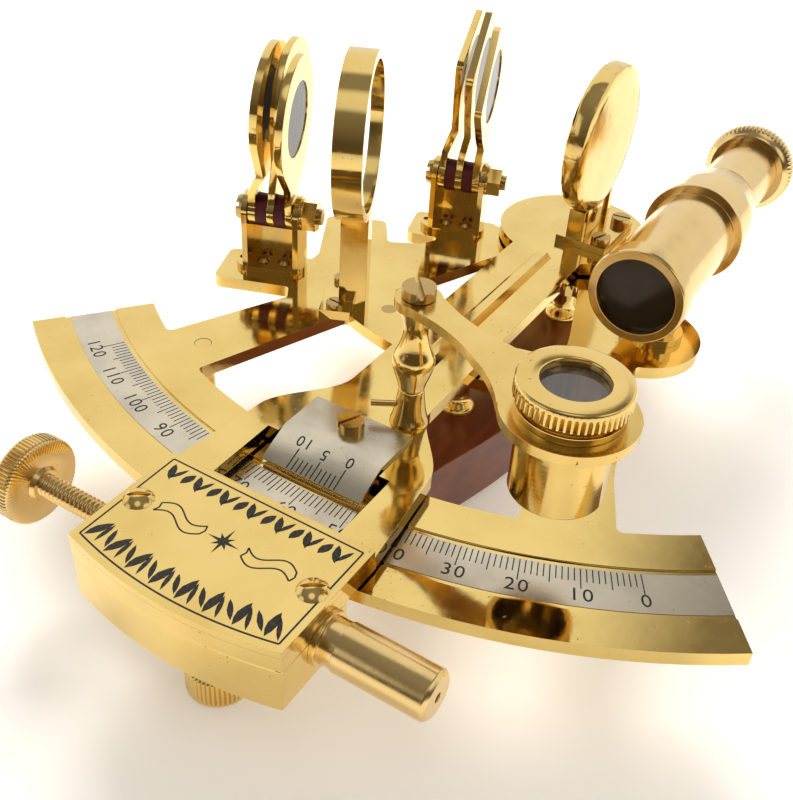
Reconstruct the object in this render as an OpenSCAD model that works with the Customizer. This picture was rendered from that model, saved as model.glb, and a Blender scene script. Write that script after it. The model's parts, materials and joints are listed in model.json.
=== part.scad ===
// Nautical sextant in polished brass, with its moving parts as separate pieces.
// The origin is the index pivot axis at table level, and the limb lies towards -Y.
// The index arm rests at a reading of 60, which is straight along -Y.

/* [Arc and frame] */
// Inner radius of the graduated silver band
scale_r = 125; // [124.6:0.1:125.4]
// Width of the silver band
scale_w = 9.4; // [9:0.1:9.6]
// Height of the graduated surface above the table
scale_z = 30; // [30:0.5:32]
// Half of the angle that the limb covers
limb_half = 36.5; // [35:0.5:38]
// Thickness of the frame casting
plate_t = 3; // [2.6:0.1:3]

/* [Index arm] */
// Thickness of the index arm
arm_t = 3.2; // [3:0.1:3.4]
// Half width of the neck of the index arm
neck_half = 9.8; // [9:0.1:10.2]
// Radius of the disc over the pivot
disc_r = 20; // [19:0.5:20.5]
// Half width of the tangent screw box
box_half = 23; // [22:0.5:23]

/* [Mirrors] */
// Outer radius of the index mirror case
mirror_r = 19; // [17:0.5:19]
// Outer radius of the horizon mirror ring
horizon_r = 18.7; // [17.5:0.1:19]

/* [Shades] */
// Outer radius of a round horizon shade
shade_r = 14.4; // [13.5:0.1:14.6]
// Half diagonal of a square index shade, which stands on one corner
shade_diagonal = 16.2; // [15:0.1:16.5]
// Distance from the shade bolt to the centre of a shade
shade_reach = 27.2; // [27:0.1:28]

/* [Telescope] */
// Outer radius of the main tube
tube_r = 10.3; // [10:0.1:10.4]
// Length of the draw tube that shows
draw_out = 24; // [16:1:26]

/* [Magnifier] */
// Distance from the magnifier post to the lens axis
magnifier_reach = 41; // [38:0.5:42]
// Angle of the magnifier arm from +X
magnifier_angle = -22; // [-40:1:-10]

/* [Hidden] */
$fn = 48;

brass = "#d8ae4c";
dark_brass = "#b98a3a";
silver = "#c9c8c0";
mahogany = "#6b2a17";
maroon = "#6d1f1f";
smoked = "#2b2b30";
clear_glass = "#c9d6d8";

fit = 0.05;            // running clearance on a radius
gap = 0.1;             // clearance between faces that slide
skin = 0.3;            // the brass stands this much proud of the silver

// Frame levels
frame_top = scale_z + skin;
frame_bot = frame_top - plate_t;
limb_in = scale_r - 10;
limb_out = scale_r + 18;
recess_out = scale_r + scale_w;
inlay_t = 1;
limb_start = 270 - limb_half;
limb_sweep = 2 * limb_half;
bar_in = 58;
bar_out = 74;
hub_r = 19.5;

// Feet and handle
foot_rivet_d = 4;
limb_foot_at = [[-47.9, -98.5], [46.5, -94]];
pivot_foot_top = 20;
handle_x = 4;
handle_front = -98;
handle_back = -12;
handle_bot = 2;
handle_top = 18;
pillar_at = [[7, -18], [4, -70]];
pillar_d = 3.6;

// Index pivot
spindle_r = 5;
bush_r = 8;
bush_flange_r = 11;
bush_flange_t = 2.5;
arm_bot = scale_z + 1;
arm_top = arm_bot + arm_t;
spine_h = 1.3;

// Window, vernier and tangent screw box
window_half = 14.5;
window_top = -117.5;
window_bot = -134.5;
tail_top = -136;
box_back = -144.5;
box_front = -163;
box_bulge = 3.2;
box_bot = scale_z - 9;
box_floor = 1.5;
cavity_half = 17;
cavity_front = -158;
cavity_back = -147;
cover_t = 1.5;
screw_y = -151;
screw_z = scale_z - 2;
thread_r = 2.38;
thread_pitch = 1.06;
knob_x = -43.5;
knob_t = 4.5;
knob_r = 9;
barrel_r = 4.7;
barrel_end = 45;
plunger_r = 2.8;
block_half = 6;
clamp_y = -152.5;
clamp_r = 2.4;

// Vernier
vernier_half = 11.6;
vernier_t = 0.8;
vernier_top = -104.5;
vernier_bend = -116;
vernier_slope = 25;
vernier_drop = 8.4;
vernier_screw_y = -109.5;

// Magnifier
post_at = [7.7, -99.5];
post_pin_h = 4.4;          // height of the cross pin over the arm
post_pin_azimuth = 212;
post_pin_start = 2.4;      // its inner end, from the post's axis
post_pin_len = 5.6;
post_pin_r = 0.8;
post_top = scale_z + 31.9;
mag_arm_t = 2;
mag_ring_r = 11.9;
mag_tube_r = 8.4;
mag_cap_r = 9.9;
mag_cap_top = scale_z + 40.3;
mag_tube_bot = scale_z + 17.2;
mag_at = post_at + magnifier_reach * [cos(magnifier_angle), sin(magnifier_angle)];

// Index mirror
mirror_x = 1.5;
mirror_t = 5;
mirror_y = -2;
mirror_z = scale_z + 32;
bracket_t = 2;

// Horizon mirror
horizon_at = [-27, -62];
horizon_angle = 25;
horizon_z = scale_z + 43.5;
horizon_w = 6.5;
horizon_wall = 2.1;
horizon_screw_x = -7;

// Shade brackets: place of each base centre, direction of its bolt
shade_sets = [[-57, -61, 21], [-30, -14, 17]];
bolt_h = 15.7;
bolt_r = 1.95;
ear_in = [-4.8, 6.8];
ear_t = 1.4;
ear_r = 4.5;
base_len = 18;
base_w = 9.5;
shade_t = 1.8;
shade_glass_r = [8.7, 9];
glass_t = 1.2;
shade_x = [-4.6, 0.1, 4.8];
disc_x = [[-2, 0.7, 5.4], [-3, 0.9, 5.2]];
shade_tilt = [[-2, -18, 11], [-22, -10, 8]];
shade_lean = [3, 1.5];
link_low = 5.2;            // the crank of a shade's link runs between these heights over the bolt
link_high = 11.5;
link_half_low = 3.6;
link_half_high = [7, 4.2];
web_h = 10.4;              // wall between the ears
washer_x = [-2.7, 2];
washer_t = 2.7;
washer_r = 4.1;

// Telescope, along +Y
scope_x = 34;
scope_z = scale_z + 18;
scope_front = -48;
flange_y = -10;
collar_end = 11;
scope_post = [36.5, -31];
bore_r = tube_r - 1;
draw_r = 8.3;
draw_in = -14;
eyecup_t = 5;

// ---------------------------------------------------------------- helpers

module ring_band(r0, r1, z0, z1, from, sweep) {
    rotate_extrude(angle = sweep, start = from, $fn = 180)
        translate([r0, z0]) square([r1 - r0, z1 - z0]);
}

module bore(r, z0, z1) {
    translate([0, 0, z0]) cylinder(r = r, h = z1 - z0);
}

module slab(x0, x1, y0, y1, z0, z1) {
    translate([x0, y0, z0]) cube([x1 - x0, y1 - y0, z1 - z0]);
}

function arc_points(r, a0, a1, n) = [for (i = [0:n]) let (a = a0 + (a1 - a0) * i / n) r * [cos(a), sin(a)]];

module stadium(len, w) {
    union() {
        translate([-(len - w) / 2, -w / 2]) square([len - w, w]);
        for (s = [-1, 1]) translate([s * (len - w) / 2, 0]) circle(d = w);
    }
}

// Slotted screw along +Z, seated at z = 0, with its shank below
module slotted_screw(head_r, head_h, shank_r, shank_l, turn = 30) {
    difference() {
        union() {
            cylinder(r = head_r, h = head_h);
            translate([0, 0, -shank_l]) cylinder(r = shank_r, h = shank_l);
        }
        rotate(turn) translate([-head_r - 1, -head_r * 0.13, head_h * 0.5])
            cube([2 * head_r + 2, head_r * 0.26, head_h]);
    }
}

// Straight knurl: an outline of small teeth
module knurl_outline(r, depth, teeth) {
    polygon([for (i = [0:2 * teeth - 1]) (r - (i % 2) * depth) * [cos(180 * i / teeth), sin(180 * i / teeth)]]);
}

// Axis along +X, starting at x = 0
module along_x() {
    rotate([0, 90, 0]) children();
}

// Axis along +Y, starting at y = 0
module along_y() {
    rotate([-90, 0, 0]) children();
}

// ---------------------------------------------------------------- frame

left_arm = [[-64, -108], [-56.8, -98], [-45.2, -72], [-40, -64], [-28.3, -67], [-43.5, -110]];
left_plate = [
    [-45.2, -70], [-28.3, -67], [-26, -54], [-19.8, -39], [-12.7, -21], [-8, -8], [-22, -7],
    [-32, -27], [-39.8, -32], [-46.7, -22.1], [-61.3, -29.5], [-50.9, -48.5], [-50, -62]
];
right_arm = [
    [12, -22], [19.5, -44], [37.5, -107.5], [41, -111], [60, -104], [54.8, -101],
    [48.5, -87], [38.6, -53], [34, -24], [24, -8], [8, 0]
];

module shade_lug(i, x0, x1, y0, y1) {
    translate([shade_sets[i][0], shade_sets[i][1]]) rotate(shade_sets[i][2])
        translate([x0, y0]) square([x1 - x0, y1 - y0]);
}

module web_outline() {
    offset(r = 2, $fn = 24) offset(r = -2, $fn = 24)
    offset(r = -1.2, $fn = 24) offset(r = 1.2, $fn = 24) {
        polygon(concat(
            arc_points(limb_in + 0.02, limb_start + 2, limb_start + limb_sweep - 2, 90),
            arc_points(limb_in + 12, limb_start + limb_sweep - 2, limb_start + 2, 90)
        ));
        polygon(concat(arc_points(bar_in, 236, 305, 60), arc_points(bar_out, 305, 236, 60)));
        polygon(left_arm);
        polygon(left_plate);
        polygon(right_arm);
        circle(r = hub_r, $fn = 72);
        translate([32.5, -33]) circle(r = 15, $fn = 72);
        translate(pillar_at[0]) circle(r = 6, $fn = 36);
        shade_lug(0, -12.5, 12, -9, 6);
        shade_lug(1, -11.5, 11, -7, 6.5);
    }
}

module frame() {
    color(brass) difference() {
        union() {
            ring_band(limb_in, limb_out, frame_bot, frame_top, limb_start, limb_sweep);
            translate([0, 0, frame_bot]) linear_extrude(plate_t) web_outline();
        }
        // Stepped recess for the silver band
        ring_band(scale_r - 1, recess_out + 1.2, scale_z - 0.1, frame_top + 1, limb_start - 1, limb_sweep + 2);
        ring_band(scale_r, recess_out, scale_z - inlay_t, frame_top + 1, limb_start - 1, limb_sweep + 2);
        bore(bush_r, frame_bot - 1, frame_top + 1);
        for (p = limb_foot_at) translate(p) bore(foot_rivet_d / 2, frame_bot - 1, frame_top + 1);
        for (p = pillar_at) translate(p) bore(pillar_d / 2, frame_bot - 1, frame_bot + 1.8);
        translate([scope_post[0], scope_post[1], 0]) bore(2, frame_bot - 1, frame_top + 1);
        for (p = rivet_spots()) translate(p) bore(rivet_r, frame_bot - 1, frame_top + 1);
        for (p = bracket_rivet_spots()) translate(p) bore(bracket_rivet_r, frame_bot - 1, frame_top + 1);
        horizon_place() for (s = [-1, 1]) translate([horizon_screw_x, s * 5.9, 0])
            bore(1.2, frame_bot - 1, frame_top + 1);
    }
}

module scale_inlay() {
    color(silver)
        ring_band(scale_r + 0.01, recess_out - 0.01, scale_z - inlay_t, scale_z, limb_start, limb_sweep);
}

// Flush rivets through the frame, and rivets through the shade bracket bases
rivet_r = 1.9;
bracket_rivet_r = 1.1;
function rivet_spots() = [[-21.5, -60.5], [41.5, -72]];
function place(i, x) = [
    shade_sets[i][0] + x * cos(shade_sets[i][2]),
    shade_sets[i][1] + x * sin(shade_sets[i][2])
];
function bracket_rivet_spots() = [for (i = [0, 1]) for (x = [-1.8, 3.6]) place(i, x)];

module rivets() {
    color(dark_brass) {
        for (p = rivet_spots()) translate(p) bore(rivet_r - 0.01, frame_bot, frame_top);
        for (p = bracket_rivet_spots()) translate(p) {
            bore(bracket_rivet_r - 0.01, frame_bot, frame_top + 1.5);
            translate([0, 0, frame_top + 1.5]) cylinder(r1 = 1.9, r2 = 1.2, h = 0.8);
        }
    }
}

module pivot_bush() {
    color(dark_brass) difference() {
        union() {
            bore(bush_r - 0.01, pivot_foot_top, frame_top);
            bore(bush_flange_r, frame_bot - bush_flange_t, frame_bot);
        }
        bore(spindle_r, pivot_foot_top - 1, frame_top + 1);
    }
}

// ---------------------------------------------------------------- stand

module foot_profile(top) {
    rotate_extrude()
        polygon([[0, 0], [3.8, 0], [4.2, 0.8], [4, 2], [2.9, 3.4], [2.4, 6], [2.3, top - 5],
            [4, top - 3.2], [4.2, top - 1], [3.8, top], [0, top]]);
}

module feet() {
    color(brass) {
        // The two limb feet end in rivets that fill their holes in the frame
        for (p = limb_foot_at) translate(p) {
            foot_profile(frame_bot);
            bore(foot_rivet_d / 2 - 0.02, frame_bot - 0.5, frame_top);
        }
        // Foot under the pivot, hollow above for the end of the spindle
        difference() {
            rotate_extrude()
                polygon([[0, 0], [6, 0], [6.4, 0.8], [6.2, 2], [4.4, 4], [4, 7], [8, 10.5], [8.2, 12],
                    [8, pivot_foot_top], [0, pivot_foot_top]]);
            bore(6.6, 12, pivot_foot_top + 1);
        }
    }
}

function handle_half(t) = 7 + 8 * pow(sin(180 * t), 1.3);

module handle_outline() {
    len = handle_back - handle_front;
    steps = 28;
    polygon(concat(
        [for (i = [0:steps]) [handle_x + handle_half(i / steps), handle_front + len * i / steps]],
        [for (i = [steps:-1:0]) [handle_x - handle_half(i / steps), handle_front + len * i / steps]]
    ));
}

module handle() {
    color(mahogany) difference() {
        translate([0, 0, handle_bot]) linear_extrude(handle_top - handle_bot) handle_outline();
        // Holes for the screws that come up from below
        for (p = pillar_at) translate(p) {
            bore(1.7, handle_bot - 1, handle_top + 1);
            bore(3.6, handle_bot - 1, handle_bot + 4);
        }
    }
}

module handle_pillars() {
    color(brass) for (p = pillar_at) translate(p) difference() {
        union() {
            translate([0, 0, handle_top]) rotate_extrude()
                polygon([[0, 0], [4.4, 0], [4.2, 1.2], [2.9, 3], [2.6, 5], [3.4, 8.2],
                    [3.4, frame_bot - handle_top], [0, frame_bot - handle_top]]);
            bore(pillar_d / 2 - 0.02, frame_bot - 0.5, frame_bot + 1.7);
        }
        bore(1.5, handle_top - 1, handle_top + 6);
    }
}

module handle_screws() {
    color(dark_brass) for (p = pillar_at) translate([p[0], p[1], handle_bot + 4]) mirror([0, 0, 1])
        slotted_screw(3.4, 2.2, 1.45, handle_top - handle_bot + 1);
}

// ---------------------------------------------------------------- horizon mirror

module horizon_place() {
    translate([horizon_at[0], horizon_at[1], 0]) rotate(horizon_angle) children();
}

module horizon_mirror_frame() {
    foot_t = 2.4;
    color(brass) horizon_place() difference() {
        union() {
            translate([-horizon_w, 0, horizon_z]) along_x() cylinder(r = horizon_r, h = horizon_w, $fn = 96);
            slab(-horizon_w, 0, -3.4, 3.4, frame_top + 1, horizon_z - horizon_r + 2.5);
            slab(-10.5, -3, -8.4, 8.4, frame_top, frame_top + foot_t);
            slab(-10.5, 0, -3.4, 3.4, frame_top, frame_top + foot_t);
        }
        translate([-horizon_w - 1, 0, horizon_z]) along_x()
            cylinder(r = horizon_r - horizon_wall, h = horizon_w + 2, $fn = 96);
        for (s = [-1, 1]) translate([horizon_screw_x, s * 5.9, 0]) bore(1.2, frame_top - 1, frame_top + 4);
    }
}

module horizon_glass() {
    color(clear_glass) horizon_place() translate([-3.6, 0, horizon_z]) along_x()
        cylinder(r = horizon_r - horizon_wall - 0.02, h = 2, $fn = 96);
}

// Screws of the horizon mirror foot and the screw that holds the telescope post
module frame_screws() {
    color(dark_brass) {
        horizon_place() for (s = [-1, 1]) translate([horizon_screw_x, s * 5.9, frame_top + 2.4])
            slotted_screw(2.1, 1.2, 1.15, 5.2, 20 + 50 * s);
        translate([scope_post[0], scope_post[1], frame_bot]) mirror([0, 0, 1])
            slotted_screw(3.6, 2, 1.95, plate_t + 4);
    }
}

// ---------------------------------------------------------------- shades

module shade_place(i) {
    translate([shade_sets[i][0], shade_sets[i][1], frame_top]) rotate(shade_sets[i][2]) children();
}

module bolt_axis() {
    translate([0, 0, bolt_h]) along_x() children();
}

module shade_brackets() {
    base_t = 1.5;
    color(brass) for (i = [0, 1]) shade_place(i) difference() {
        union() {
            linear_extrude(base_t) stadium(base_len, base_w);
            for (x = [ear_in[0] - ear_t, ear_in[1]]) {
                slab(x, x + ear_t, -ear_r, ear_r, base_t - 0.5, bolt_h);
                translate([x, 0, 0]) bolt_axis() cylinder(r = ear_r, h = ear_t);
            }
            slab(ear_in[0] - 0.5, ear_in[1] + 0.5, ear_r - 2.6, ear_r - 0.6, base_t - 0.5, web_h);
        }
        translate([-10, 0, 0]) bolt_axis() cylinder(r = bolt_r + 0.02, h = 22);
        translate([-7.4, 0, -1]) cylinder(r = 0.9, h = 4);
        for (x = [-1.8, 3.6]) translate([x, 0, -1]) cylinder(r = bracket_rivet_r, h = 4);
    }
}

module shade_bolts() {
    left = ear_in[0] - ear_t;
    right = ear_in[1] + ear_t;
    color(dark_brass) for (i = [0, 1]) shade_place(i) translate([left, 0, bolt_h]) along_x() difference() {
        union() {
            cylinder(r = bolt_r, h = right - left + 5.2);
            translate([0, 0, -1.9]) cylinder(r1 = 2.9, r2 = 3.6, h = 1.9);
        }
        rotate(55) translate([-5, -0.5, -3]) cube([10, 1, 2]);
    }
}

module shade_nuts() {
    nut_t = 4;
    right = ear_in[1] + ear_t;
    color(brass) for (i = [0, 1]) shade_place(i) translate([right, 0, bolt_h]) along_x() difference() {
        union() {
            cylinder(r = 3.9, h = 0.6);
            translate([0, 0, 0.6]) rotate(12) cylinder(r = 4, h = nut_t - 0.6, $fn = 6);
        }
        translate([0, 0, -1]) cylinder(r = bolt_r + 0.01, h = nut_t + 2);
    }
}

module shade_washers() {
    color(maroon) for (i = [0, 1]) shade_place(i) for (x = washer_x)
        translate([x, 0, bolt_h]) along_x() difference() {
            cylinder(r = washer_r, h = washer_t);
            translate([0, 0, -1]) cylinder(r = bolt_r + 0.02, h = washer_t + 2);
        }
}

// Puts a shade at its angle about the bolt; k counts from 0 at the screw head
module shade_pose(i, k) {
    shade_place(i) translate([0, 0, bolt_h]) rotate([shade_tilt[i][k], 0, 0]) children();
}

// Turns the upper part of a shade to its lean, and stands at the disc's left face
module disc_side(i, k) {
    translate([shade_x[k], 0, 0]) rotate([0, shade_lean[i], 0])
        translate([disc_x[i][k] - shade_x[k], 0, 0]) children();
}

// Where a straight line from point p touches the right side of a circle of radius r at height h
function touch_point(p, h, r) = let (
    d = norm([p[0], h - p[1]]),
    a = atan2(h - p[1], -p[0]) - asin(r / d),
    l = sqrt(d * d - r * r))
    [p[0] + l * cos(a), p[1] + l * sin(a)];

// Outline of the upper part, as points [sideways, height over the bolt]: a round shade's skirt, or a square
function shade_points(i) = let (foot = [link_half_high[i], link_high])
    i == 0
    ? let (t = touch_point(foot, shade_reach, shade_r)) [foot, t, [-t[0], t[1]], [-foot[0], foot[1]]]
    : let (d = shade_diagonal, cut = 1.2, neck = 5.5) [
        foot, [link_half_high[i] + neck - 1, shade_reach - d + neck],
        [d - cut, shade_reach - cut], [d - cut, shade_reach + cut],
        [cut, shade_reach + d - cut], [-cut, shade_reach + d - cut],
        [cut - d, shade_reach + cut], [cut - d, shade_reach - cut],
        [1 - link_half_high[i] - neck, shade_reach - d + neck], [-foot[0], foot[1]]];

// Shade frame: an eye on the bolt, a cranked link, and a plate with the glass seat
module shade_arm(i, k) {
    color(brass) shade_pose(i, k) difference() {
        union() {
            translate([shade_x[k], 0, 0]) along_x() cylinder(r = 4.1, h = shade_t);
            slab(shade_x[k], shade_x[k] + shade_t, -link_half_low, link_half_low, 0, link_low + 0.6);
            hull() {
                slab(shade_x[k], shade_x[k] + shade_t, -link_half_low, link_half_low, link_low, link_low + 0.6);
                disc_side(i, k)
                    slab(0, shade_t, -link_half_high[i], link_half_high[i], link_high, link_high + 0.6);
            }
            disc_side(i, k) {
                along_x() linear_extrude(shade_t) polygon([for (q = shade_points(i)) [-q[1], q[0]]]);
                if (i == 0) translate([0, 0, shade_reach]) along_x() cylinder(r = shade_r, h = shade_t, $fn = 72);
            }
        }
        translate([shade_x[k] - 1, 0, 0]) along_x() cylinder(r = bolt_r + fit, h = shade_t + 2);
        disc_side(i, k) translate([-1, 0, shade_reach])
            along_x() cylinder(r = shade_glass_r[i], h = shade_t + 2, $fn = 72);
    }
}

module shade_glass(i, k) {
    color(smoked) shade_pose(i, k) disc_side(i, k) translate([(shade_t - glass_t) / 2, 0, shade_reach])
        along_x() cylinder(r = shade_glass_r[i] - 0.01, h = glass_t, $fn = 72);
}

module horizon_shade_1() { shade_arm(0, 0); }
module horizon_shade_2() { shade_arm(0, 1); }
module horizon_shade_3() { shade_arm(0, 2); }
module horizon_shade_1_glass() { shade_glass(0, 0); }
module horizon_shade_2_glass() { shade_glass(0, 1); }
module horizon_shade_3_glass() { shade_glass(0, 2); }
module index_shade_1() { shade_arm(1, 0); }
module index_shade_2() { shade_arm(1, 1); }
module index_shade_3() { shade_arm(1, 2); }
module index_shade_1_glass() { shade_glass(1, 0); }
module index_shade_2_glass() { shade_glass(1, 1); }
module index_shade_3_glass() { shade_glass(1, 2); }

// ---------------------------------------------------------------- telescope

module scope_place(y) {
    translate([scope_x, y, scope_z]) along_y() children();
}

module telescope_post() {
    saddle_w = 12;
    saddle_l = 10;
    color(brass) difference() {
        union() {
            translate([scope_post[0], scope_post[1], frame_top]) {
                cylinder(r = 6, h = 1.8);
                cylinder(r = 4, h = scope_z - tube_r - frame_top);
            }
            slab(scope_x - saddle_w / 2, scope_x + saddle_w / 2, scope_post[1] - saddle_l / 2,
                scope_post[1] + saddle_l / 2, scope_z - tube_r - 1.6, scope_z - tube_r + 2);
        }
        translate([0, -20, 0]) scope_place(scope_post[1]) cylinder(r = tube_r, h = 40, $fn = 96);
        translate([scope_post[0], scope_post[1], 0]) bore(1.97, frame_top - 1, frame_top + 4);
    }
}

module telescope_tube() {
    color(brass) difference() {
        scope_place(0) rotate_extrude($fn = 96) polygon([
            [0, scope_front + 5], [tube_r, scope_front + 5], [tube_r, flange_y],
            [tube_r + 2, flange_y], [tube_r + 2, flange_y + 1.6], [tube_r + 1, flange_y + 2.4],
            [tube_r + 1, flange_y + 11], [tube_r - 0.8, collar_end], [0, collar_end]
        ]);
        scope_place(scope_front) cylinder(r = bore_r, h = 36, $fn = 96);
        scope_place(scope_front) cylinder(r = draw_r + fit, h = 80, $fn = 96);
    }
}

module objective_ring() {
    color(brass) difference() {
        scope_place(scope_front) union() {
            cylinder(r1 = tube_r + 0.8, r2 = tube_r + 1.1, h = 1, $fn = 96);
            translate([0, 0, 1]) cylinder(r = tube_r + 1.1, h = 4, $fn = 96);
            translate([0, 0, 4]) cylinder(r = bore_r - 0.01, h = 5, $fn = 96);
        }
        scope_place(scope_front - 1) cylinder(r = bore_r - 0.7, h = 12, $fn = 96);
        scope_place(scope_front - 1) cylinder(r = bore_r - 0.2, h = 3, $fn = 96);
        scope_place(scope_front + 1.6) cylinder(r = bore_r + 0.3, h = 2.1, $fn = 96);
    }
}

module objective_lens() {
    color(smoked) scope_place(scope_front + 1.7)
        cylinder(r = bore_r + 0.28, h = 1.9, $fn = 96);
}

module draw_tube() {
    color(brass) difference() {
        scope_place(draw_in) cylinder(r = draw_r, h = collar_end + draw_out - draw_in, $fn = 96);
        scope_place(draw_in - 1) cylinder(r = draw_r - 0.9, h = 80, $fn = 96);
    }
}

module eyepiece_ring() {
    ring_r = 11.8;
    color(brass) difference() {
        scope_place(collar_end + draw_out + gap) union() {
            cylinder(r1 = draw_r + 1.6, r2 = ring_r - 1.2, h = 1.4, $fn = 96);
            translate([0, 0, 1.4]) linear_extrude(eyecup_t - 2) knurl_outline(ring_r, 0.35, 60);
            translate([0, 0, eyecup_t - 0.6]) cylinder(r1 = ring_r - 0.4, r2 = ring_r - 1.6, h = 1.2, $fn = 96);
            translate([0, 0, -6]) cylinder(r = draw_r - 0.9 - fit, h = 7, $fn = 96);
        }
        scope_place(collar_end + draw_out - 9) cylinder(r = 5.6, h = 30, $fn = 96);
        scope_place(collar_end + draw_out - 3) cylinder(r = 6.2, h = 3, $fn = 96);
    }
}

module eye_lens() {
    color(clear_glass) scope_place(collar_end + draw_out - 2.9) cylinder(r = 6.18, h = 2.6, $fn = 96);
}

// ---------------------------------------------------------------- index arm

// The front edge of the box and its cover: a shallow bulge away from the pivot
function front_edge(n) = [for (i = [0:n]) let (u = 2 * i / n - 1)
    [box_half * u, box_front - box_bulge * (1 - u * u)]];

module tail_outline(y_back) {
    polygon(concat(front_edge(24), [[box_half, y_back], [-box_half, y_back]]));
}

// Half width of the arm between the neck and the window frame, t from 0 to 1
function flare(t) = neck_half + (20.5 - neck_half) * (3 * t * t - 2 * t * t * t);

module arm_outline() {
    flare_top = -94;
    flare_bot = -113.5;
    n = 12;
    side = [for (i = [0:n]) [flare(i / n), flare_top + (flare_bot - flare_top) * i / n]];
    difference() {
        union() {
            circle(r = disc_r, $fn = 96);
            polygon(concat(
                [[neck_half, -10]], side, [[box_half, tail_top]],
                [[-box_half, tail_top]], [for (i = [n:-1:0]) [-side[i][0], side[i][1]]],
                [[-neck_half, -10]]
            ));
            tail_outline(tail_top + 0.5);
        }
        translate([-window_half, window_bot]) square([2 * window_half, window_top - window_bot]);
        // The vernier dips through the middle of the window's top edge
        translate([-vernier_half - 0.4, window_top - 1]) square([2 * vernier_half + 0.8, 2.9]);
        translate([-cavity_half, cavity_front]) square([2 * cavity_half, cavity_back - cavity_front]);
    }
}

module index_arm() {
    color(brass) difference() {
        union() {
            translate([0, 0, arm_bot]) linear_extrude(arm_t) arm_outline();
            // Spine along the neck
            translate([0, -19.5, arm_top]) rotate([90, 0, 0]) linear_extrude(66)
                polygon([[-2.4, -0.5], [-2.4, 0], [-1.1, spine_h], [1.1, spine_h], [2.4, 0], [2.4, -0.5]]);
        }
        bore(spindle_r + 1, arm_bot - 1, arm_top + 1);
        translate([post_at[0], post_at[1], 0]) bore(1.5, arm_bot - 1, arm_top + 1);
        translate([0, vernier_screw_y, 0]) bore(1.3, arm_bot - 1, arm_top + 1);
        for (s = [-1, 1]) translate([s * 19.3, -149.5, 0]) bore(1.3, arm_bot - 1, arm_top + 1);
        for (s = [-1, 1]) translate([10.5, s * 7, 0]) bore(1.1, arm_bot + 0.6, arm_top + 1);
    }
}

module pivot_spindle() {
    color(dark_brass) {
        bore(spindle_r - fit, pivot_foot_top - 1, arm_bot + 0.5);
        bore(spindle_r + 0.98, arm_bot, arm_top);
        bore(6, 13, pivot_foot_top - gap);
    }
}

module index_mirror_case() {
    facets = 26;
    color(brass) difference() {
        union() {
            translate([mirror_x, mirror_y, mirror_z]) along_x() linear_extrude(mirror_t)
                polygon([for (i = [0:facets - 1])
                    (mirror_r - 0.25 * (i % 2) - 0.2 * (i % 3)) * [cos(360 * i / facets), sin(360 * i / facets)]]);
            slab(mirror_x + 0.6, mirror_x + mirror_t - 0.4, mirror_y - 5, mirror_y + 5,
                arm_top + bracket_t, mirror_z - mirror_r + 3);
        }
        translate([mirror_x - 1, mirror_y, mirror_z]) along_x() cylinder(r = mirror_r - 2, h = 2.8, $fn = 96);
    }
}

module index_mirror_glass() {
    color(clear_glass) translate([mirror_x, mirror_y, mirror_z]) along_x()
        cylinder(r = mirror_r - 2.02, h = 1.78, $fn = 96);
}

module index_mirror_bracket() {
    color(brass) difference() {
        union() {
            slab(-1, 13, -10, 10, arm_top, arm_top + bracket_t);
            for (s = [-1, 1]) translate([0, s * 8.4, 0])
                slab(mirror_x, mirror_x + mirror_t - 0.5, -1, 1, arm_top + bracket_t - 0.5, mirror_z - mirror_r + 1.2);
        }
        for (s = [-1, 1]) translate([10.5, s * 7, 0]) bore(1.2, arm_top - 1, arm_top + 4);
    }
}

module mirror_screws() {
    color(dark_brass) for (s = [-1, 1]) translate([10.5, s * 7, arm_top + bracket_t])
        slotted_screw(2.5, 1.9, 1.08, 4.2, 40 - 30 * s);
}

module vernier_plate() {
    c = cos(vernier_slope);
    d = sin(vernier_slope);
    top = arm_top + vernier_t;
    tip_top = [vernier_bend - vernier_drop * c, top - vernier_drop * d];
    tip_bot = tip_top + vernier_t * [d, -c];
    under_bend = tip_bot[0] + (arm_top - tip_bot[1]) * c / d;
    color(silver) difference() {
        translate([-vernier_half, 0, 0]) rotate([90, 0, 90]) linear_extrude(2 * vernier_half) polygon([
            [vernier_top, arm_top], [vernier_top, top], [vernier_bend, top],
            tip_top, tip_bot, [under_bend, arm_top]
        ]);
        translate([0, vernier_screw_y, 0]) bore(1.35, arm_top - 1, arm_top + 2);
    }
}

module vernier_screw() {
    color(brass) translate([0, vernier_screw_y, arm_top + vernier_t])
        slotted_screw(2.8, 2.4, 1.25, 3.4, 65);
}

// ---------------------------------------------------------------- tangent screw box

module tangent_box() {
    jaw_half = 9;
    color(brass) difference() {
        translate([0, 0, box_bot]) linear_extrude(arm_bot - box_bot) tail_outline(box_back);
        slab(-cavity_half, cavity_half, cavity_front, cavity_back, box_bot + box_floor, arm_bot + 1);
        // Mouth for the jaw that reaches under the limb
        slab(-jaw_half, jaw_half, cavity_back - 1, box_back + 1, box_bot + box_floor, frame_bot + 0.2);
        // Slot for the clamp screw
        slab(-6, 6, clamp_y - 3, clamp_y + 3, box_bot - 1, box_bot + box_floor + 1);
        translate([-box_half - 1, screw_y, screw_z]) along_x() cylinder(r = thread_r + fit, h = 10);
        translate([cavity_half - 1, screw_y, screw_z]) along_x() cylinder(r = plunger_r + fit, h = 10);
    }
}

module cover_plate() {
    color(brass) difference() {
        translate([0, 0, arm_top]) linear_extrude(cover_t) tail_outline(tail_top);
        for (s = [-1, 1]) translate([s * 19.3, -149.5, 0]) bore(1.4, arm_top - 1, arm_top + 3);
    }
}

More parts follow.
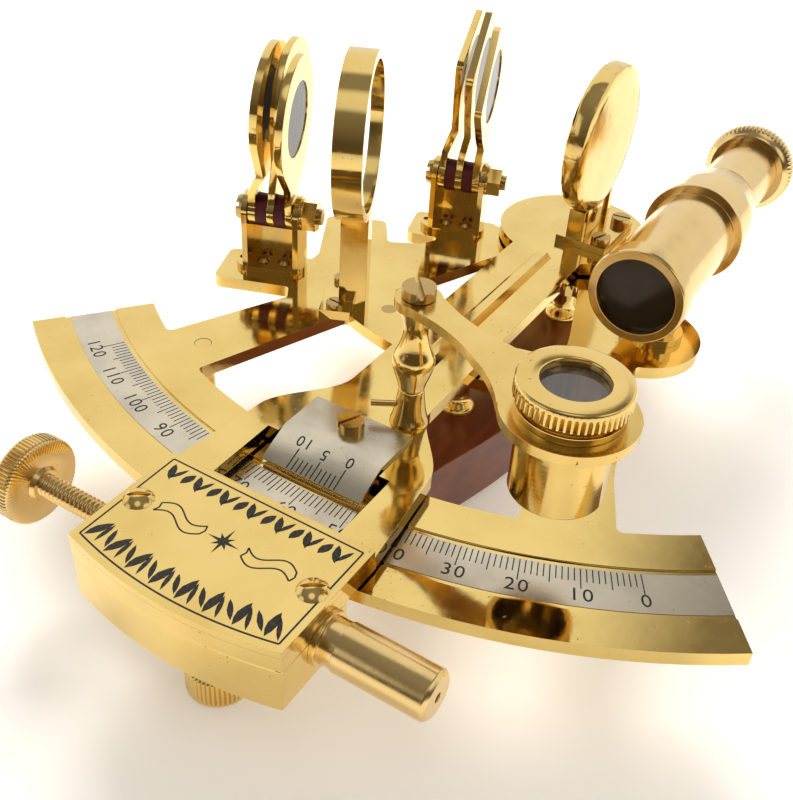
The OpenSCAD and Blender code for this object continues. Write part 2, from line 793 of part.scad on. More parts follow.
module cover_screws() {
    color(brass) for (s = [-1, 1]) translate([s * 19.3, -149.5, arm_top + cover_t]) difference() {
        union() {
            intersection() {
                translate([0, 0, -2.4]) sphere(r = 3.8);
                cylinder(r = 4, h = 3);
            }
            translate([0, 0, -cover_t - arm_t]) cylinder(r = 1.28, h = cover_t + arm_t);
        }
        rotate(35) translate([-5, -0.45, 0.6]) cube([10, 0.9, 3]);
    }
}

module spring_barrel() {
    color(brass) difference() {
        translate([box_half, screw_y, screw_z]) along_x() union() {
            cylinder(r = barrel_r + 0.5, h = 1.2);
            translate([0, 0, 1.2]) cylinder(r = barrel_r - 0.3, h = 3);
            translate([0, 0, 4]) cylinder(r = barrel_r, h = barrel_end - box_half - 4.8);
            translate([0, 0, barrel_end - box_half - 0.8]) cylinder(r1 = barrel_r, r2 = barrel_r - 0.8, h = 0.8);
        }
        translate([box_half - 1, screw_y, screw_z]) along_x() cylinder(r = plunger_r + fit, h = 22);
        translate([box_half, screw_y, screw_z]) along_x() cylinder(r = 0.9, h = 30);
    }
}

// Helix swept as one closed skin: turns rings of points around the wire
function helix_point(i, n, turns, r, len) = [len * i / n, r * cos(360 * turns * i / n), r * sin(360 * turns * i / n)];

module barrel_spring() {
    turns = 9;
    per_turn = 12;
    sides = 6;
    wire_r = 0.35;
    coil_r = 2.2;
    len = 19;
    n = turns * per_turn;
    pts = [for (i = [0:n]) for (j = [0:sides - 1]) let (
        c = helix_point(i, n, turns, coil_r, len),
        a = 360 * turns * i / n,
        b = 360 * j / sides)
        c + wire_r * [sin(b), cos(b) * cos(a), cos(b) * sin(a)]];
    skin_faces = [for (i = [0:n - 1]) for (j = [0:sides - 1]) let (k = (j + 1) % sides)
        [i * sides + j, i * sides + k, (i + 1) * sides + k, (i + 1) * sides + j]];
    ends = [[for (j = [sides - 1:-1:0]) j], [for (j = [0:sides - 1]) n * sides + j]];
    color(silver) translate([23.4, screw_y, screw_z]) polyhedron(pts, concat(skin_faces, ends), convexity = 10);
}

module clamp_block() {
    color(dark_brass) difference() {
        slab(-block_half, block_half, cavity_front + gap + 0.2, cavity_back - gap - 0.2, 22.8, screw_z + 2.7);
        // Slot for the leaf
        slab(-block_half - 1, block_half + 1, -156, -140, 24.4, 26.9);
        translate([0, clamp_y, 0]) bore(clamp_r + fit, 21, 24.5);
    }
}

module spring_plunger() {
    color(silver) translate([block_half + gap, screw_y, screw_z]) along_x() union() {
        cylinder(r = plunger_r, h = 14);
        cylinder(r = 1.7, h = 24);
    }
}

module tangent_screw() {
    tip = -block_half - gap;
    color(brass) translate([0, screw_y, screw_z]) union() {
        translate([knob_x, 0, 0]) along_x() cylinder(r = thread_r, h = tip - knob_x);
        translate([knob_x - 0.2, 0, 0]) along_x() cylinder(r = 3.1, h = 1.2);
        translate([knob_x - knob_t, 0, 0]) along_x() linear_extrude(knob_t) knurl_outline(knob_r, 0.3, 72);
    }
}

module clamp_screw() {
    color(brass) translate([0, clamp_y, 0]) union() {
        translate([0, 0, 0.6]) linear_extrude(7.4) knurl_outline(6.5, 0.3, 44);
        bore(4, 8, 20.4);
        bore(clamp_r, 20.4, 24.5);
    }
}

module clamp_shoe() {
    color(silver) union() {
        slab(-block_half + 0.5, block_half - 0.5, -155.7, -137.5, 24.6, 26.6);
        slab(-block_half + 0.5, block_half - 0.5, -142, -137.5, 26.5, 27);
    }
}

// ---------------------------------------------------------------- magnifier

module magnifier_post() {
    sleeve = arm_top + 8.6;
    color(brass) translate([post_at[0], post_at[1], 0]) difference() {
        union() {
            translate([0, 0, arm_top]) cylinder(r1 = 4, r2 = 2.6, h = 8.6);
            rotate_extrude() polygon([
                [0, sleeve - 0.5], [2.4, sleeve - 0.5], [2.6, sleeve + 0.6], [3.4, sleeve + 3.4],
                [4.2, sleeve + 5.6], [4.2, sleeve + 7.2], [3.2, sleeve + 9.6], [2.5, sleeve + 12.6],
                [2.4, sleeve + 14.4], [2.8, sleeve + 16.6], [3.6, post_top - gap], [0, post_top - gap]]);
            bore(1.48, arm_bot, arm_top + 1);
            bore(1.95, post_top - 2, post_top + mag_arm_t + gap);
        }
        bore(0.92, post_top, post_top + mag_arm_t + 1);
        post_pin(post_pin_start - gap, post_pin_len, post_pin_r + fit);
    }
}

// Cross pin in the foot of the post, running outwards from its axis
module post_pin(start, length, r) {
    translate([0, 0, arm_top + post_pin_h]) rotate([0, 0, post_pin_azimuth])
        translate([start, 0, 0]) along_x() cylinder(r = r, h = length);
}

module magnifier_post_pin() {
    color(brass) translate([post_at[0], post_at[1], 0]) post_pin(post_pin_start, post_pin_len, post_pin_r);
}

module magnifier_pivot_screw() {
    color(dark_brass) translate([post_at[0], post_at[1], post_top + mag_arm_t + gap])
        slotted_screw(3.3, 2.2, 0.9, 1.9, -50);
}

module magnifier_outline() {
    reach = magnifier_reach;
    n = 16;
    // The arm narrows after the eye and flares into the ring
    half = [for (i = [0:n]) let (t = i / n)
        [2 + (reach - 10) * t, 4 - 1.2 * sin(180 * min(1, 1.6 * t)) + 5 * pow(max(0, t - 0.55) / 0.45, 2)]];
    union() {
        circle(r = 4.6);
        polygon(concat([for (p = half) [p[0], -p[1]]], [for (i = [n:-1:0]) half[i]]));
        translate([reach, 0]) circle(r = mag_ring_r, $fn = 96);
    }
}

module magnifier_arm() {
    color(brass) translate([post_at[0], post_at[1], post_top]) rotate(magnifier_angle) difference() {
        linear_extrude(mag_arm_t) magnifier_outline();
        bore(1.95 + fit, -1, mag_arm_t + 1);
        translate([magnifier_reach, 0, 0]) bore(mag_tube_r, -1, mag_arm_t + 1);
    }
}

module lens_axis() {
    translate([mag_at[0], mag_at[1], 0]) children();
}

module magnifier_tube() {
    top = mag_cap_top - 4.2;
    color(brass) lens_axis() difference() {
        union() {
            bore(mag_tube_r - 0.01, mag_tube_bot, top);
            bore(mag_tube_r + 1, post_top + mag_arm_t, post_top + mag_arm_t + 1.4);
        }
        bore(mag_tube_r - 1.2, mag_tube_bot - 1, top + 1);
    }
}

module magnifier_cap() {
    inner = mag_tube_r - 1.2 - fit;
    color(brass) lens_axis() difference() {
        union() {
            translate([0, 0, mag_cap_top - 4]) linear_extrude(3.4) knurl_outline(mag_cap_r, 0.3, 56);
            translate([0, 0, mag_cap_top - 0.6]) cylinder(r1 = mag_cap_r - 0.1, r2 = mag_cap_r - 0.8, h = 0.6);
            bore(inner, mag_cap_top - 10, mag_cap_top - 3.9);
        }
        bore(5.8, mag_cap_top - 11, mag_cap_top + 1);
        bore(6.3, mag_cap_top - 11, mag_cap_top - 1.6);
    }
}

module magnifier_lens() {
    color(smoked) lens_axis() bore(6.28, mag_cap_top - 4.6, mag_cap_top - 1.7);
}

// ---------------------------------------------------------------- drawing

frame();
scale_inlay();
pivot_bush();
feet();
handle();
handle_pillars();
handle_screws();
horizon_mirror_frame();
horizon_glass();
frame_screws();
rivets();
shade_brackets();
shade_bolts();
shade_nuts();
shade_washers();
telescope_post();
telescope_tube();
objective_ring();
objective_lens();
draw_tube();
eyepiece_ring();
eye_lens();
index_arm();
pivot_spindle();
index_mirror_case();
index_mirror_glass();
index_mirror_bracket();
mirror_screws();
vernier_plate();
vernier_screw();
tangent_box();
cover_plate();
cover_screws();
spring_barrel();
barrel_spring();
clamp_block();
spring_plunger();
tangent_screw();
clamp_screw();
clamp_shoe();
magnifier_post();
magnifier_post_pin();
magnifier_pivot_screw();
magnifier_arm();
magnifier_tube();
magnifier_cap();
magnifier_lens();
horizon_shade_1();
horizon_shade_2();
horizon_shade_3();
horizon_shade_1_glass();
horizon_shade_2_glass();
horizon_shade_3_glass();
index_shade_1();
index_shade_2();
index_shade_3();
index_shade_1_glass();
index_shade_2_glass();
index_shade_3_glass();
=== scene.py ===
import json
import math
import random

import bmesh
import bpy
from mathutils import Matrix, Vector, noise

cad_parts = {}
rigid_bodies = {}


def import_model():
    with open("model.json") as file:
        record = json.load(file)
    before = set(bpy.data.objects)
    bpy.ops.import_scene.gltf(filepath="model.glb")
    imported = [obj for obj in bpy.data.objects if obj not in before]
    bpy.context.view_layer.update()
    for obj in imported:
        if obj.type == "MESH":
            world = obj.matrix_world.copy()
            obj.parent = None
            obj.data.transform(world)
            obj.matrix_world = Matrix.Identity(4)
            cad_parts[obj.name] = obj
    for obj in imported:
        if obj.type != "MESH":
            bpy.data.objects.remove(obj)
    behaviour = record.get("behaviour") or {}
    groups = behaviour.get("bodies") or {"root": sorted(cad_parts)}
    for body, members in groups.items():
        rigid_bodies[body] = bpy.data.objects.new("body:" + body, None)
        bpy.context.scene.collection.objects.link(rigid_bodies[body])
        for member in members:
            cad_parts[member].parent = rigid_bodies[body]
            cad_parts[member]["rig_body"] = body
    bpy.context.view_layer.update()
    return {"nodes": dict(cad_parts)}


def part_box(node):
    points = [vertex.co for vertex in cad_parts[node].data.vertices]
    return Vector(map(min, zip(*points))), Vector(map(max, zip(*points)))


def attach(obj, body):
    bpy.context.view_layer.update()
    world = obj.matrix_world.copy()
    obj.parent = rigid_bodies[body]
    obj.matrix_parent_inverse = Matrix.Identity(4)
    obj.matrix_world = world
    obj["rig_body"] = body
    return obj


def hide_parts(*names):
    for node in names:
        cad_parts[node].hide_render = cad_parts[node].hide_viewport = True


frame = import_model()
mm = 0.001
turn = 2 * math.pi
random.seed(7)
print("frame is in:", len(frame["nodes"]), "nodes")


class Wire:
    # a socket that plain maths can be written on; each sum adds its Math node
    def __init__(self, board, socket):
        self.board = board
        self.socket = socket

    def maths(self, operation, *values):
        return self.board.node("ShaderNodeMath", {"operation": operation}, dict(enumerate(values)))

    def __add__(self, other): return self.maths("ADD", self, other)
    def __radd__(self, other): return self.maths("ADD", other, self)
    def __sub__(self, other): return self.maths("SUBTRACT", self, other)
    def __rsub__(self, other): return self.maths("SUBTRACT", other, self)
    def __mul__(self, other): return self.maths("MULTIPLY", self, other)
    def __rmul__(self, other): return self.maths("MULTIPLY", other, self)


class Board:
    # one material's node tree, with a single way to add a node
    def __init__(self, name):
        self.material = bpy.data.materials.new(name)
        self.material.use_nodes = True
        self.tree = self.material.node_tree
        self.shader = self.tree.nodes["Principled BSDF"]

    def node(self, kind, settings=None, inputs=None, out=0):
        made = self.tree.nodes.new(kind)
        for key, value in (settings or {}).items():
            if key == "stops":
                ramp = made.color_ramp
                while len(ramp.elements) < len(value):
                    ramp.elements.new(0.5)
                for element, (place, colour) in zip(ramp.elements, value):
                    element.position = place
                    element.color = (*colour, 1) if len(colour) == 3 else colour
            else:
                setattr(made, key, value)
        for key, value in (inputs or {}).items():
            self.plug(made.inputs[key], value)
        return Wire(self, made.outputs[out])

    def plug(self, socket, value):
        if isinstance(value, Wire):
            self.tree.links.new(value.socket, socket)
        elif isinstance(value, tuple) and len(value) == 3 and socket.type == "RGBA":
            socket.default_value = (*value, 1)
        else:
            socket.default_value = value

    def blend(self, amount, first, second):
        return self.node("ShaderNodeMix", {"data_type": "RGBA"}, {0: amount, 6: first, 7: second}, 2)

    def ramp(self, value, low, high):
        return self.node("ShaderNodeMapRange", {"clamp": True}, {0: value, 1: low, 2: high})

    def place(self, stretch=(1, 1, 1)):
        spot = self.node("ShaderNodeTexCoord", out="Object")
        return self.node("ShaderNodeMapping", {}, {"Vector": spot, "Scale": stretch})

    def cloud(self, where, scale, detail=3.0, rough=0.5):
        return self.node("ShaderNodeTexNoise", {},
                         {"Vector": where, "Scale": scale, "Detail": detail, "Roughness": rough})

    def bump(self, height, strength, distance):
        return self.node("ShaderNodeBump", {}, {"Height": height, "Strength": strength, "Distance": distance})

    def finish(self, **values):
        for key, value in values.items():
            self.plug(self.shader.inputs[key.replace("_", " ")], value)
        return self.material


brassLook = {
    "plate": (0.86, 0.64, 0.23),
    "deep": (0.64, 0.42, 0.10),
    "turned": (0.84, 0.61, 0.22),
    "rosy": (0.84, 0.62, 0.29),
    "screw": (0.50, 0.34, 0.14),
    "tarnish": (0.09, 0.055, 0.015),
    "polish": 0.06,
}


def brassFinish(name, tint, stretch=(1, 1, 1), lines=0.25, polish=None, spots=1.0, ripple=0.35):
    # polished brass: soft colour drift, tarnish specks, polishing lines and a faint waviness
    polish = brassLook["polish"] if polish is None else polish
    board = Board(name)
    plain = board.place()
    drift = board.cloud(plain, 55, 4)
    grain = board.cloud(board.place(stretch), 2600, 2, 0.6)
    fine = board.cloud(plain, 420, 5, 0.65)
    speck = board.ramp(board.cloud(plain, 1500, 2), 0.70, 0.78) * board.ramp(drift, 0.42, 0.62) * spots
    stain = board.ramp(fine, 0.62, 0.74) * board.ramp(drift, 0.5, 0.7) * (0.35 * spots)
    aged = tuple(0.55 * a + 0.45 * b for a, b in zip(tint, brassLook["deep"]))
    tone = board.blend(board.ramp(drift, 0.38, 0.72), tint, aged)
    tone = board.blend(stain, tone, brassLook["deep"])
    tone = board.blend(speck * 0.75, tone, brassLook["tarnish"])
    rough = polish + 0.07 * board.ramp(fine, 0.45, 0.75) + 0.10 * lines * grain + 0.25 * speck
    height = ripple * board.cloud(plain, 130, 2) + 0.10 * lines * grain - 0.3 * speck
    return board.finish(Base_Color=tone, Roughness=rough, Metallic=1.0,
                        Normal=board.bump(height, 0.35, 0.00022))


def silverFinish(name, tint, stretch=(1, 1, 1)):
    # brushed silvering, a little cloudy and yellowed in places
    board = Board(name)
    plain = board.place()
    drift = board.cloud(plain, 90, 4)
    grain = board.cloud(board.place(stretch), 1900, 3, 0.6)
    warm = board.blend(board.ramp(drift, 0.40, 0.70) * 0.8, tint, (0.50, 0.46, 0.38))
    warm = board.blend(board.ramp(board.cloud(plain, 800, 2), 0.68, 0.8) * 0.5, warm, (0.20, 0.17, 0.14))
    rough = 0.13 + 0.12 * grain + 0.10 * drift
    return board.finish(Base_Color=warm, Roughness=rough, Metallic=1.0,
                        Normal=board.bump(grain, 0.12, 0.00005))


def woodFinish():
    # red-brown figured hardwood under a thin varnish
    board = Board("mahogany")
    warp = board.cloud(board.place((1, 0.35, 1)), 70, 3)
    rings = board.node("ShaderNodeTexWave", {"wave_type": "BANDS", "bands_direction": "X"},
                       {"Vector": board.place((1, 0.16, 1)), "Scale": 75, "Distortion": 9.0,
                        "Detail": 3.0, "Detail Scale": 1.4}, 1)
    pores = board.cloud(board.place((1, 0.05, 1)), 2400, 2)
    figure = board.ramp(rings * 0.3 + warp * 0.8, 0.3, 0.85)
    tone = board.blend(figure, (0.21, 0.045, 0.014), (0.12, 0.022, 0.008))
    tone = board.blend(board.ramp(warp, 0.55, 0.72) * 0.5, tone, (0.30, 0.075, 0.024))
    tone = board.blend(board.ramp(pores, 0.66, 0.76) * 0.7, tone, (0.035, 0.008, 0.004))
    return board.finish(Base_Color=tone, Roughness=0.26 + 0.2 * pores, Coat_Weight=0.45, Coat_Roughness=0.12,
                        Normal=board.bump(pores + rings * 0.2, 0.2, 0.0001))


def fibreFinish():
    board = Board("fibreWasher")
    plain = board.place()
    mottle = board.cloud(plain, 900, 4)
    tone = board.blend(mottle, (0.17, 0.012, 0.012), (0.06, 0.006, 0.008))
    return board.finish(Base_Color=tone, Roughness=0.42 + 0.2 * mottle,
                        Normal=board.bump(mottle, 0.3, 0.0001))


def glassFinish(name, tint, clear, rough=0.02, dust=0.3):
    board = Board(name)
    film = board.ramp(board.cloud(board.place(), 240, 5), 0.5, 0.8)
    tone = board.blend(film * dust, tint, tuple(min(1, a + 0.10) for a in tint))
    return board.finish(Base_Color=tone, Roughness=rough + 0.05 * film, Transmission_Weight=clear, IOR=1.5,
                        Coat_Weight=0.5)


def mirrorFinish():
    board = Board("silveredGlass")
    film = board.ramp(board.cloud(board.place(), 160, 5), 0.5, 0.85)
    tone = board.blend(film * 0.3, (0.86, 0.89, 0.89), (0.62, 0.64, 0.62))
    return board.finish(Base_Color=tone, Metallic=1.0, Roughness=0.03 + 0.08 * film)


def enamelFinish():
    board = Board("blackFill")
    wear = board.cloud(board.place(), 1400, 3)
    tone = board.blend(board.ramp(wear, 0.5, 0.8), (0.012, 0.010, 0.008), (0.07, 0.05, 0.03))
    return board.finish(Base_Color=tone, Roughness=0.45 + 0.2 * wear)


def darkFinish(name, tint, rough=0.3, shine=0.5):
    board = Board(name)
    film = board.cloud(board.place(), 200, 4)
    tone = board.blend(film, tint, tuple(0.5 * a for a in tint))
    return board.finish(Base_Color=tone, Roughness=rough + 0.1 * film, Specular_IOR_Level=shine)


finishes = {
    "plate": brassFinish("brassPlate", brassLook["plate"]),
    "turnedX": brassFinish("brassTurnedX", brassLook["turned"], (1, 0.02, 0.02), 0.9),
    "turnedY": brassFinish("brassTurnedY", brassLook["rosy"], (0.02, 1, 0.02), 1.2, 0.10, 0.6, 0.2),
    "turnedZ": brassFinish("brassTurnedZ", brassLook["turned"], (0.02, 0.02, 1), 0.9),
    "cast": brassFinish("brassCast", brassLook["turned"], (1, 1, 1), 0.2, 0.10, 1.3, 0.9),
    "filed": brassFinish("brassFiled", brassLook["turned"], (1, 1, 0.02), 1.6, 0.12, 1.3, 0.5),
    "rosy": brassFinish("brassRosy", brassLook["rosy"], (1, 0.02, 0.02), 0.5, 0.16),
    "screw": brassFinish("brassScrew", brassLook["screw"], (0.1, 1, 1), 0.5, 0.18, 1.3),
    "silver": silverFinish("silvering", (0.70, 0.63, 0.49), (0.2, 1, 1)),
    "steel": silverFinish("springSteel", (0.50, 0.50, 0.52)),
    "wood": woodFinish(),
    "fibre": fibreFinish(),
    "shadeGlass": darkFinish("shadeGlass", (0.004, 0.004, 0.006), 0.08, 0.12),
    "greyGlass": darkFinish("greyGlass", (0.13, 0.14, 0.145), 0.10, 0.15),
    "lensGlass": glassFinish("lensGlass", (0.16, 0.15, 0.15), 0.8, 0.03),
    # objective lens: opaque and near black, painted shade of the dark inside of the tube behind the glass
    "objective": darkFinish("objectiveGlassPaintedShade", (0.035, 0.020, 0.012), 0.06),
    "mirror": mirrorFinish(),
    "fill": enamelFinish(),
}
print("finishes made:", len(finishes))


def addPiece(name, mesh, body, finish, replaced=(), sharp=32):
    mesh.materials.clear()
    mesh.materials.append(finishes[finish])
    piece = bpy.data.objects.new(name, mesh)
    bpy.context.scene.collection.objects.link(piece)
    mesh.shade_smooth()
    mesh.set_sharp_from_angle(angle=math.radians(sharp))
    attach(piece, body)
    if replaced:
        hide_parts(*replaced)
    return piece


def meshFrom(name, points, faces, scale=mm):
    mesh = bpy.data.meshes.new(name)
    mesh.from_pydata([tuple(scale * c for c in p) for p in points], [], faces)
    mesh.validate()
    return mesh


def bodyOf(node):
    return frame["nodes"][node]["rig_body"]


def middleOf(node):
    # the middle of a node's box, in millimetres
    return tuple((a + b) / 2 / mm for a, b in zip(*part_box(node)))


def weigh(piece):
    even = piece.modifiers.new("even", "WEIGHTED_NORMAL")
    even.keep_sharp = True
    return piece


def softened(node, finish, width, segments=2, angle=30, keep=None):
    # the CAD shape again, with its edges eased by so many millimetres
    shape = bmesh.new()
    shape.from_mesh(frame["nodes"][node].data)
    bmesh.ops.remove_doubles(shape, verts=shape.verts, dist=3e-6)
    bmesh.ops.dissolve_limit(shape, angle_limit=math.radians(0.3), verts=shape.verts, edges=shape.edges)
    sharpest = math.radians(angle)
    edges = [e for e in shape.edges if len(e.link_faces) == 2 and e.calc_face_angle(0) > sharpest]
    if keep:
        edges = [e for e in edges if keep((e.verts[0].co + e.verts[1].co) / 2 / mm)]
    bmesh.ops.bevel(shape, geom=edges, offset=width * mm, offset_type="OFFSET", segments=segments,
                    profile=0.6, affect="EDGES", clamp_overlap=True, loop_slide=True)
    mesh = bpy.data.meshes.new(node)
    shape.to_mesh(mesh)
    shape.free()
    return weigh(addPiece(node + ".soft", mesh, bodyOf(node), finish, (node,)))


def lathe(profile, teeth=0, depth=0, steps=96, axis="Z", centre=(0, 0, 0), closed=False):
    # profile rows are (height, radius, share of the knurl); the knurl is teeth straight notches
    steps = teeth * 6 if teeth else steps
    points, faces = [], []
    for height, radius, share in profile:
        for i in range(steps):
            a = turn * i / steps
            notch = abs((i * teeth / steps) % 1 * 2 - 1) if teeth else 0
            r = radius - depth * share * max(0, notch * 1.5 - 0.5)
            p = {"Z": (r * math.cos(a), r * math.sin(a), height),
                 "X": (height, r * math.cos(a), r * math.sin(a)),
                 "Y": (r * math.sin(a), height, r * math.cos(a))}[axis]
            points.append(tuple(c + o for c, o in zip(p, centre)))
    rows = len(profile)
    for row in range(rows if closed else rows - 1):
        low, high = row * steps, ((row + 1) % rows) * steps
        for i in range(steps):
            j = (i + 1) % steps
            faces.append((low + i, low + j, high + j, high + i))
    if not closed:
        faces.append(tuple(range(steps - 1, -1, -1)))
        faces.append(tuple((rows - 1) * steps + i for i in range(steps)))
    return points, faces


def joined(name, *parts):
    points, faces = [], []
    for p, f in parts:
        base = len(points)
        points += p
        faces += [tuple(i + base for i in face) for face in f]
    return meshFrom(name, points, faces)


def facesOut(mesh):
    shape = bmesh.new()
    shape.from_mesh(mesh)
    bmesh.ops.recalc_face_normals(shape, faces=shape.faces)
    shape.to_mesh(mesh)
    shape.free()
    return mesh


def turnedPiece(node, parts, finish, sharp, body=None, suffix="turned"):
    # stands in for its CAD node
    mesh = facesOut(joined(node + "Mesh", *parts))
    return addPiece(node + "." + suffix, mesh, body or node, finish, (node,), sharp)


def plain(node, finish):
    # a CAD node whose shape is right keeps its mesh and takes a better finish
    mesh = frame["nodes"][node].data
    mesh.materials.clear()
    mesh.materials.append(finishes[finish])


# cast and sawn plates: same shapes, eased edges
scaleBand = (123.6, 136.9)


def offTheBand(p):
    r = math.hypot(p.x, p.y)
    return not (scaleBand[0] < r < scaleBand[1] and p.z > 28.5)


softened("frame", "plate", 0.35, 2, 30, offTheBand)
softened("index_arm", "plate", 0.35)
softened("cover_plate", "plate", 0.25)
softened("tangent_box", "plate", 0.45)
softened("magnifier_arm", "filed", 0.4, 3)
softened("magnifier_tube", "turnedZ", 0.2)
softened("horizon_mirror_frame", "plate", 0.5, 3)
softened("shade_brackets", "cast", 0.25)
softened("shade_nuts", "cast", 0.2)
softened("shade_bolts", "screw", 0.15)
softened("index_mirror_bracket", "cast", 0.3)
softened("telescope_post", "cast", 0.3)
softened("telescope_tube", "turnedY", 0.2)
softened("objective_ring", "turnedY", 0.25)
softened("draw_tube", "turnedY", 0.15)
softened("spring_barrel", "rosy", 0.15)
softened("vernier_plate", "silver", 0.1)
softened("feet", "turnedZ", 0.3)
softened("handle_pillars", "turnedZ", 0.3)
softened("handle", "wood", 2.4, 4, 50)
for which in ("horizon", "index"):
    for number in "123":
        softened(f"{which}_shade_{number}", "plate", 0.3, 2, 40)
        plain(f"{which}_shade_{number}_glass", "greyGlass" if which == "horizon" else "shadeGlass")
for node in ("cover_screws", "vernier_screw"):
    softened(node, "turnedZ", 0.12, 2, 40)
for node in ("mirror_screws", "frame_screws", "handle_screws", "magnifier_pivot_screw"):
    softened(node, "screw", 0.12, 2, 40)
plain("scale_inlay", "silver")
plain("pivot_bush", "turnedZ")
plain("pivot_spindle", "turnedZ")
plain("rivets", "screw")
plain("magnifier_post_pin", "turnedZ")
plain("horizon_glass", "mirror")
plain("index_mirror_glass", "mirror")
plain("shade_washers", "fibre")
# the objective lens takes the opaque near-black finish, painted shade of the tube inside
plain("objective_lens", "objective")
plain("eye_lens", "lensGlass")
plain("magnifier_lens", "lensGlass")
plain("barrel_spring", "steel")
plain("spring_plunger", "steel")
plain("clamp_block", "screw")
plain("clamp_shoe", "steel")
print("plates eased")

# tangent screw: threaded rod and a straight-knurled knob
tangent = {"y": -151, "z": 28, "tip": -6.1, "knobFace": -43.5, "knobThick": 4.5, "knobRadius": 9, "rod": 2.38,
           "pitch": 1.06, "depth": 0.34, "teeth": 72, "knurl": 0.45}


def thread(start, end, radius, pitch, depth, centre):
    # one long skin whose radius dips once a turn, so the notch runs round as a helix
    around, along = 30, int((end - start) / pitch * 9)
    points, faces = [], []
    for i in range(along + 1):
        x = start + (end - start) * i / along
        for j in range(around):
            a = turn * j / around
            wave = abs(((x / pitch - j / around) % 1) * 2 - 1)
            fade = min(1, i / 6, (along - i) / 6)
            r = radius - depth * wave * fade
            points.append((x, centre[0] + r * math.cos(a), centre[1] + r * math.sin(a)))
    for i in range(along):
        for j in range(around):
            k = (j + 1) % around
            faces.append((i * around + j, i * around + k, (i + 1) * around + k, (i + 1) * around + j))
    faces.append(tuple(range(around - 1, -1, -1)))
    faces.append(tuple(along * around + j for j in range(around)))
    return points, faces


t = tangent
face, back, wide = t["knobFace"], t["knobFace"] - t["knobThick"], t["knobRadius"]
knobRows = [
    (back, 0.9, 0), (back - 0.3, 1.4, 0), (back - 0.35, 2.6, 0), (back + 0.1, 3.2, 0),
    (back, wide - 0.7, 0), (back + 0.5, wide - 0.1, 0.6), (back + 0.8, wide, 1),
    (face - 0.8, wide, 1), (face - 0.4, wide - 0.15, 0.5), (face, wide - 0.8, 0),
    (face + 0.1, 3.6, 0), (face + 1.0, 3.1, 0), (face + 1.1, 2.3, 0)]
knob = lathe(knobRows, t["teeth"], t["knurl"], axis="X", centre=(0, t["y"], t["z"]))
rod = thread(face + 0.6, t["tip"], t["rod"], t["pitch"], t["depth"], (t["y"], t["z"]))
turnedPiece("tangent_screw", (knob, rod), "rosy", 50)

clamp = {"y": -152.5, "low": 0.6, "high": 8, "radius": 6.5, "neck": 4, "neckTop": 20.2, "rod": 2.4,
         "rodTop": 24.5, "teeth": 44, "knurl": 0.45}
c = clamp
low, high, wide = c["low"], c["high"], c["radius"]
knobRows = [
    (low + 0.2, 1, 0), (low, 5, 0), (low, wide - 0.9, 0), (low + 0.5, wide - 0.2, 0.6), (low + 0.9, wide, 1),
    (high - 0.9, wide, 1), (high - 0.4, wide - 0.2, 0.5), (high, wide - 0.9, 0), (high + 0.1, 4.3, 0),
    (high + 0.9, c["neck"], 0), (c["neckTop"], c["neck"], 0), (c["neckTop"] + 0.2, c["neck"] - 0.2, 0),
    (c["neckTop"] + 0.2, c["rod"], 0), (c["rodTop"], c["rod"], 0)]
turnedPiece("clamp_screw", [lathe(knobRows, c["teeth"], c["knurl"], centre=(0, c["y"], 0))], "turnedZ", 50)

# magnifier: knurled cap, turned post
capAt = middleOf("magnifier_cap")
cap = {"top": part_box("magnifier_cap")[1][2] / mm, "tall": 10, "radius": 9.9, "teeth": 56, "knurl": 0.4,
       "eye": 5.8, "skirt": 7.15, "seat": 6.3}
k = cap
top, wide, foot = k["top"], k["radius"], k["top"] - k["tall"]
capRows = [
    (foot, k["skirt"], 0), (top - 4.1, k["skirt"], 0), (top - 4, 8.6, 0), (top - 4, 9.2, 0),
    (top - 3.8, 9.6, 0.7), (top - 3.6, wide, 1), (top - 1.5, wide, 1), (top - 1.25, wide - 0.02, 0.5),
    (top - 1.1, wide - 0.05, 0), (top - 0.4, wide - 0.1, 0), (top - 0.1, 9.55, 0), (top, 9.2, 0),
    (top, 6.2, 0), (top - 0.12, 5.95, 0), (top - 0.4, k["eye"], 0), (top - 1.55, k["eye"], 0),
    (top - 1.6, k["seat"], 0), (foot, k["seat"], 0)]
capSkin = lathe(capRows, k["teeth"], k["knurl"], centre=(capAt[0], capAt[1], 0), closed=True)
turnedPiece("magnifier_cap", [capSkin], "turnedZ", 40)

postAt = middleOf("magnifier_post")
post = {"root": 31, "rootRadius": 1.48, "base": 34.2, "shoulder": 61.8, "pinRadius": 1.95, "sharp": 60,
        "steps": 64,
        "rows": [(0, 4.0), (0.6, 3.95), (2.4, 3.45), (5, 3.0), (8.2, 2.6), (8.6, 2.45), (9, 2.7),
                 (10.2, 3.0), (12.0, 3.6), (14, 4.15), (15.2, 4.25), (16.4, 4.05), (18.4, 3.25),
                 (20.4, 2.7), (22.0, 2.45), (23.4, 2.5), (24.8, 2.8), (26.2, 3.25), (27.1, 3.6), (27.5, 3.6)]}


def smoothRows(rows, parts=4):
    # a spline through the rows, for a turned outline without flats
    out = []
    for i in range(len(rows) - 1):
        a, b, c, d = rows[max(0, i - 1)], rows[i], rows[i + 1], rows[min(len(rows) - 1, i + 2)]
        for s in range(parts):
            f = s / parts
            out.append(tuple(0.5 * (2 * b[n] + (c[n] - a[n]) * f
                                    + (2 * a[n] - 5 * b[n] + 4 * c[n] - d[n]) * f * f
                                    + (3 * b[n] - a[n] - 3 * c[n] + d[n]) * f ** 3) for n in (0, 1)))
    return out + [rows[-1]]


